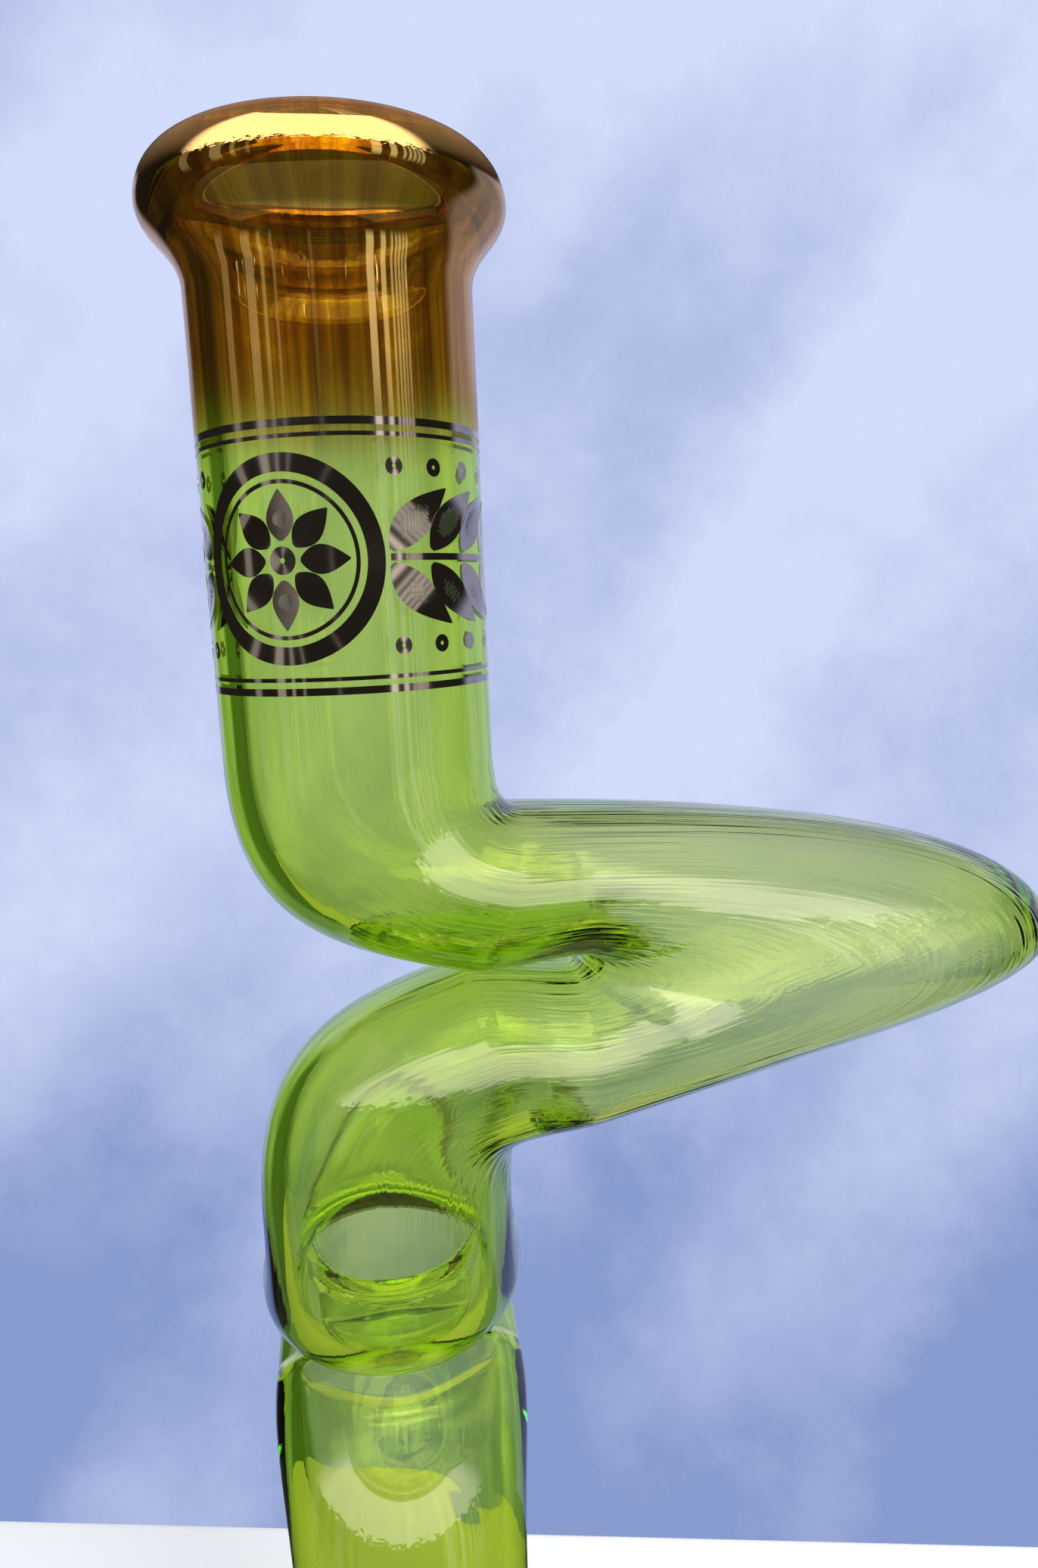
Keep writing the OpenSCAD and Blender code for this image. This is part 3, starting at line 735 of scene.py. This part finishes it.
# Bowl: clear ground cone below, green cup with a pulled handle above
cone = lathe("bowl_cone", [
    [bowl_bore_r, bowl_foot], [bowl_foot_r - fit, bowl_foot], [bowl_r - fit, stem_head],
    [bowl_r - fit, stem_head + 0.7], [bowl_neck_r, stem_head + 2.1],
    [bowl_neck_r, bowl_z - weld_gap], [bowl_bore_r, bowl_z - weld_gap]], clear, stem_place)
cone.data.set_sharp_from_angle(angle=math.radians(40))
ground_between(cone, [(bowl_foot, stem_head, (bowl_r + bowl_foot_r) / 2 - fit)])
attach(cone, "bowl")
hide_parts("bowl_joint")

rim_r = cup_wall / 2
cup_in, cup_floor = cup_r - cup_wall, bowl_z + cup_floor_t
turn_z, full_z = bowl_z + cup_turn * cup_h, bowl_z + cup_full * cup_h
cup = np.r_[
    curve([bowl_neck_r, bowl_z], [bowl_neck_r, turn_z], [cup_r, turn_z], [cup_r, full_z], 24),
    arc([cup_r - rim_r, bowl_z + cup_h - rim_r], rim_r, 0, 180, 20),
    curve([cup_in, full_z], [cup_in, cup_floor + cup_turn * cup_h],
          [cup_floor_r, cup_floor + 1], [draught_r, cup_floor], 24),
    [[draught_r, bowl_z + 2], [bowl_bore_r, bowl_z]]]
bowl = lathe("bowl_glass", cup, glass, stem_place, 1.5)
handle_end = cup_r + handle_len
handle = np.r_[[[0, cup_r - handle_sink], [root_r, cup_r - handle_sink]],
               curve([root_r, cup_r - 0.5], [waist_r, cup_r + handle_len / 3],
                     [knob_r, handle_end - 2 * knob_r], [knob_r, handle_end - knob_r], 20),
               arc([0, handle_end - knob_r], knob_r, 0, 90, 12)]
# Turned a little about its own axis, so that its points miss the cup's edges
handle_place = (stem_place @ Matrix.Translation((0, 0, full_z * MM))
                @ Matrix.Rotation(math.pi / 2, 4, "Y") @ Matrix.Rotation(math.radians(1.3), 4, "Z"))
carve(bowl, turned_solid("handle", handle, glass, handle_place, 1.5), "UNION")
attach(bowl, "bowl")
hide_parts("bowl_cup", "bowl_handle")

# ---- Ornament: a leaf frieze in a thin mirror film, round the front half of the neck ----

film_r = tube_r + 0.03
band_low, band_high = neck_lo[2] + 11.5, neck_lo[2] + 50.0
band_mid = (band_low + band_high) / 2
reach = 35.0
edge_w, line_w, line_gap = 1.1, 0.6, 0.9
rose, rose_gap = (-9.0, band_mid), 15.6
petals, petal_r, petal_len, petal_w = 8, 2.6, 7.4, 4.2
leaf_step, leaf_turn, leaf_len, leaf_w, leaf_curl = 6.6, 52, 13.5, 5.4, -2.5
berry_r, berry_up = 1.3, 12.6
shapes = []


def strip(a, b, closed=False):
    """A band of film between two lines of points: along the girth from the front, and up."""
    a, b = np.asarray(a, float), np.asarray(b, float)
    points = []
    for line, r in ((a, film_r), (a, film_r + film_t), (b, film_r + film_t), (b, film_r)):
        turn = line[:, 0] / tube_r - math.pi / 2
        points.append(np.c_[r * np.cos(turn), r * np.sin(turn), line[:, 1]])
    shapes.append((np.stack(points, 1), closed))


def stripe(z, width, start, end):
    s = np.arange(start, end, 0.8)
    strip(np.c_[s, np.full(len(s), z)], np.c_[s, np.full(len(s), z + width)])


def hoop(s, z, r0, r1, steps=72):
    strip(arc([s, z], r1, 0, 360, steps)[:-1], arc([s, z], r0, 0, 360, steps)[:-1], closed=True)


def leaf(p, angle, length, width, curl=0.0):
    t = np.linspace(0.02, 0.98, 20)[:, None]
    way = np.array([math.cos(math.radians(angle)), math.sin(math.radians(angle))])
    side = np.array([-way[1], way[0]])
    spine = np.asarray(p, float) + way * length * t + side * curl * t * t
    half = width / 2 * np.sin(math.pi * t ** 0.8)
    strip(spine - side * half, spine + side * half)


stripe(band_high - edge_w, edge_w, -reach, reach)
stripe(band_high - edge_w - line_gap - line_w, line_w, -reach, reach)
stripe(band_low, edge_w, -reach, reach)
stripe(band_low + edge_w + line_gap, line_w, -reach, reach)
hoop(*rose, 12.2, 14.8)
hoop(*rose, 10.6, 11.2)
hoop(*rose, 0.4, 2.0, 24)
for i in range(petals):
    angle = 360 / petals * i
    way = math.radians(angle)
    foot = rose[0] + petal_r * math.cos(way), rose[1] + petal_r * math.sin(way)
    leaf(foot, angle, petal_len, petal_w)
for start, end, step in ((rose[0] + rose_gap, reach, 1), (rose[0] - rose_gap, -reach, -1)):
    stripe(band_mid - 0.5, 1.0, min(start, end), max(start, end))
    for s in np.arange(start, end - step * 2, step * leaf_step):
        for up in (1, -1):
            angle = leaf_turn * up if step > 0 else 180 - leaf_turn * up
            leaf((s, band_mid + 0.8 * up), angle, leaf_len, leaf_w, leaf_curl * up * step)
            hoop(s + step * 1.2, band_mid + up * berry_up, 0.3, berry_r, 20)

verts, faces = [], []
for points, closed in shapes:
    n, first = len(points), len(verts)
    verts += list(points.reshape(-1, 3))
    for i in range(n if closed else n - 1):
        a, b = first + 4 * i, first + 4 * ((i + 1) % n)
        faces += [(b + k, b + (k + 1) % 4, a + (k + 1) % 4, a + k) for k in range(4)]
    if not closed:
        last = first + 4 * (n - 1)
        faces += [tuple(first + k for k in range(4)), tuple(last + k for k in (3, 2, 1, 0))]
frieze = make_object("neck_frieze", verts, faces, bronze)
frieze.data.set_sharp_from_angle(angle=math.radians(40))
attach(frieze, "pipe")

# ---- Stage ----

def slab(name, low, high, material, bevel):
    x0, y0, z0 = low
    x1, y1, z1 = high
    corners = [(x, y, z) for z in (z0, z1) for y in (y0, y1) for x in (x0, x1)]
    obj = make_object(name, corners, BOX_FACES, material)
    edge = obj.modifiers.new("edge", "BEVEL")
    edge.width, edge.segments = bevel * MM, 4
    return obj


table = slab("table", (-520, -420, -30), (520, 123.7, 0), table_top(), 4)
table.rotation_euler.z = math.radians(-12.05)


# Bright gaps in the room beside the camera: turn from straight back, half width, brightness
WINDOWS = [(0.57, 0.045, 0.9), (0.75, 0.03, 0.8), (0.87, 0.012, 0.6), (0.93, 0.012, 0.6),
           (0.98, 0.012, 0.6), (1.03, 0.012, 0.5), (1.08, 0.012, 0.5), (-1.05, 0.06, 0.35),
           (-0.86, 0.02, 0.3), (-0.70, 0.015, 0.2), (-1.45, 0.05, 0.25), (-0.2, 0.02, 0.08)]


def world_light():
    """Blue cloth to the camera, and a room with windows, sky and twigs to the glass."""
    world = bpy.data.worlds.new("studio")
    bpy.context.scene.world = world
    world.use_nodes = True
    world.node_tree.nodes.clear()
    tree = Tree(world.node_tree)
    background = tree.nodes.new("ShaderNodeBackground")
    out = tree.nodes.new("ShaderNodeOutputWorld")
    tree.links.new(background.outputs[0], out.inputs[0])
    path = tree.nodes.new("ShaderNodeLightPath")
    direction = tree.nodes.new("ShaderNodeTexCoord").outputs["Generated"]
    x, y, z = tree.split(direction)[:3]
    # The cloth's folds and crumples are painted light and shade, and it is painted darker towards the
    # bottom.
    slant = tree.scaled(direction, (1, 1, 1), (0, -0.75, 0))
    fold = tree.noise(tree.scaled(slant, (1.6, 1.0, 0.6)), 2.3, 1.5, 0.4)
    crumple = tree.noise(slant, 10.0, 6.0, 0.62)
    folded = tree.ramp(fold, 0.35, 0.65, 0.0, 0.55)
    light = tree.math("MULTIPLY_ADD", tree.ramp(crumple, 0.3, 0.7), 0.24, folded)
    light = tree.math("ADD", light, tree.ramp(z, -0.62, -0.10, -0.27, 0.46), clamp=True)
    cloth = tree.blend(light, (0.25, 0.33, 0.62, 1), (0.64, 0.71, 0.97, 1))
    # The backdrop fills one side; over the camera there is a bright sky behind branches
    across = tree.math("ARCTAN2", x, y)
    drape = tree.math("MULTIPLY", tree.ramp(across, -0.68, -0.52), tree.ramp(across, 1.40, 1.20))
    turn = tree.math("ARCTAN2", x, tree.math("MULTIPLY", y, -1.0))
    twigs = tree.noise(direction, 14.0, 7.0, 0.66)
    high = tree.math("MULTIPLY_ADD", tree.math("SUBTRACT", twigs, 0.5), 0.75, z)
    sky = tree.math("MULTIPLY", tree.ramp(high, 0.36, 0.40),
                    tree.math("MULTIPLY", tree.ramp(turn, 1.3, 1.0), tree.ramp(turn, -1.6, -1.3)))
    rays = tree.noise(direction, 26.0, 4.0, 0.6)
    faded = tree.math("MULTIPLY", tree.ramp(z, 0.80, 0.98, 0.22, 1.0),
                      tree.ramp(rays, 0.40, 0.60, 0.6, 1.05))
    skies = (tree.math("MULTIPLY", sky, tree.ramp(z, 0.945, 0.935)),
             tree.math("MULTIPLY", faded, tree.math("MAXIMUM", sky, tree.ramp(z, 0.922, 0.932))))
    tall = tree.ramp(z, -0.35, -0.1)
    win = 0.0
    for middle, half, shine in WINDOWS:
        off = tree.math("ABSOLUTE", tree.math("SUBTRACT", turn, middle))
        win = tree.math("ADD", win, tree.ramp(off, half + 0.01, half, 0.0, shine))
    win = tree.math("MULTIPLY", win, tall)
    # What mirrored rays see, then what rays through the glass see; to the latter the cloth is a little
    # darker, painted shade
    rooms = ((skies[0], (0.030, 0.028, 0.020, 1), (0.50, 0.42, 0.32, 1), (0.35, 0.75),
              (6.1, 5.5, 4.5, 1), 0.42, 0.0),
             (skies[1], (0.085, 0.14, 0.07, 1), (0.12, 0.12, 0.012, 1), (0.30, 0.38),
              (5.4, 5.2, 3.1, 1), 0.34, 0.12))
    seen = []
    for sky, dark, roof, rise, bright, top, dim in rooms:
        room = tree.blend(tree.ramp(z, *rise), dark, roof)
        room = tree.blend(win, room, (2.0, 2.0, 1.7, 1))
        room = tree.blend(sky, room, bright)
        hung = tree.math("MULTIPLY", drape, tree.ramp(z, top, top - 0.06))
        seen.append(tree.blend(hung, room, tree.blend(dim, cloth, (0, 0, 0, 1))))
    diffuse = tree.blend(tree.ramp(z, -0.3, 0.9), (0.55, 0.58, 0.70, 1), (0.95, 0.96, 1.0, 1))
    colour = tree.blend(path.outputs["Is Glossy Ray"], diffuse, seen[0])
    colour = tree.blend(path.outputs["Is Transmission Ray"], colour, seen[1])
    colour = tree.blend(path.outputs["Is Camera Ray"], colour, cloth)
    tree.put(background.inputs["Color"], colour)
    background.inputs["Strength"].default_value = 1.0


world_light()


def softbox(name, place, target, size, watts):
    light = bpy.data.lights.new(name, "AREA")
    light.shape = "RECTANGLE"
    light.size, light.size_y = size
    light.energy = watts
    obj = bpy.data.objects.new(name, light)
    obj.location = place
    obj.rotation_mode = "QUATERNION"
    obj.rotation_quaternion = (Vector(target) - Vector(place)).to_track_quat("-Z", "Y")
    obj.visible_glossy = obj.visible_transmission = False
    bpy.context.scene.collection.objects.link(obj)


middle_z = upper_crease * MM
softbox("key", (0.45, -0.75, 0.95), (0.02, 0, middle_z), (0.5, 0.5), 9.0)
softbox("strip", (0.62, -0.30, 0.42), (0, 0, middle_z + 0.05), (0.05, 0.55), 1.6)

# ---- Camera: fitted to the photo's outline ----

focal, picture_h = 1400, 2073  # pixels
eye_x, eye_y, eye_up = 0.002297, -0.176497, 61.62  # the last in mm over the upper crease
pitch, roll, yaw = math.radians(9.864), math.radians(2.260), math.radians(7.810)
camera_data = bpy.data.cameras.new("camera")
camera = bpy.data.objects.new("camera", camera_data)
bpy.context.scene.collection.objects.link(camera)
bpy.context.scene.camera = camera
camera_data.sensor_width = 36.0
camera_data.lens = camera_data.sensor_width * focal / picture_h
camera_data.clip_start, camera_data.clip_end = 0.01, 20
ahead = Vector((math.sin(yaw) * math.cos(pitch), math.cos(yaw) * math.cos(pitch), -math.sin(pitch)))
level = Vector((math.cos(yaw), -math.sin(yaw), 0))
down = ahead.cross(level)
right = math.cos(roll) * level + math.sin(roll) * down
down = ahead.cross(right)
camera.matrix_world = Matrix((
    (right.x, -down.x, -ahead.x, eye_x),
    (right.y, -down.y, -ahead.y, eye_y),
    (right.z, -down.z, -ahead.z, (upper_crease + eye_up) * MM),
    (0, 0, 0, 1)))

scene = bpy.context.scene
scene.view_settings.view_transform = "Standard"
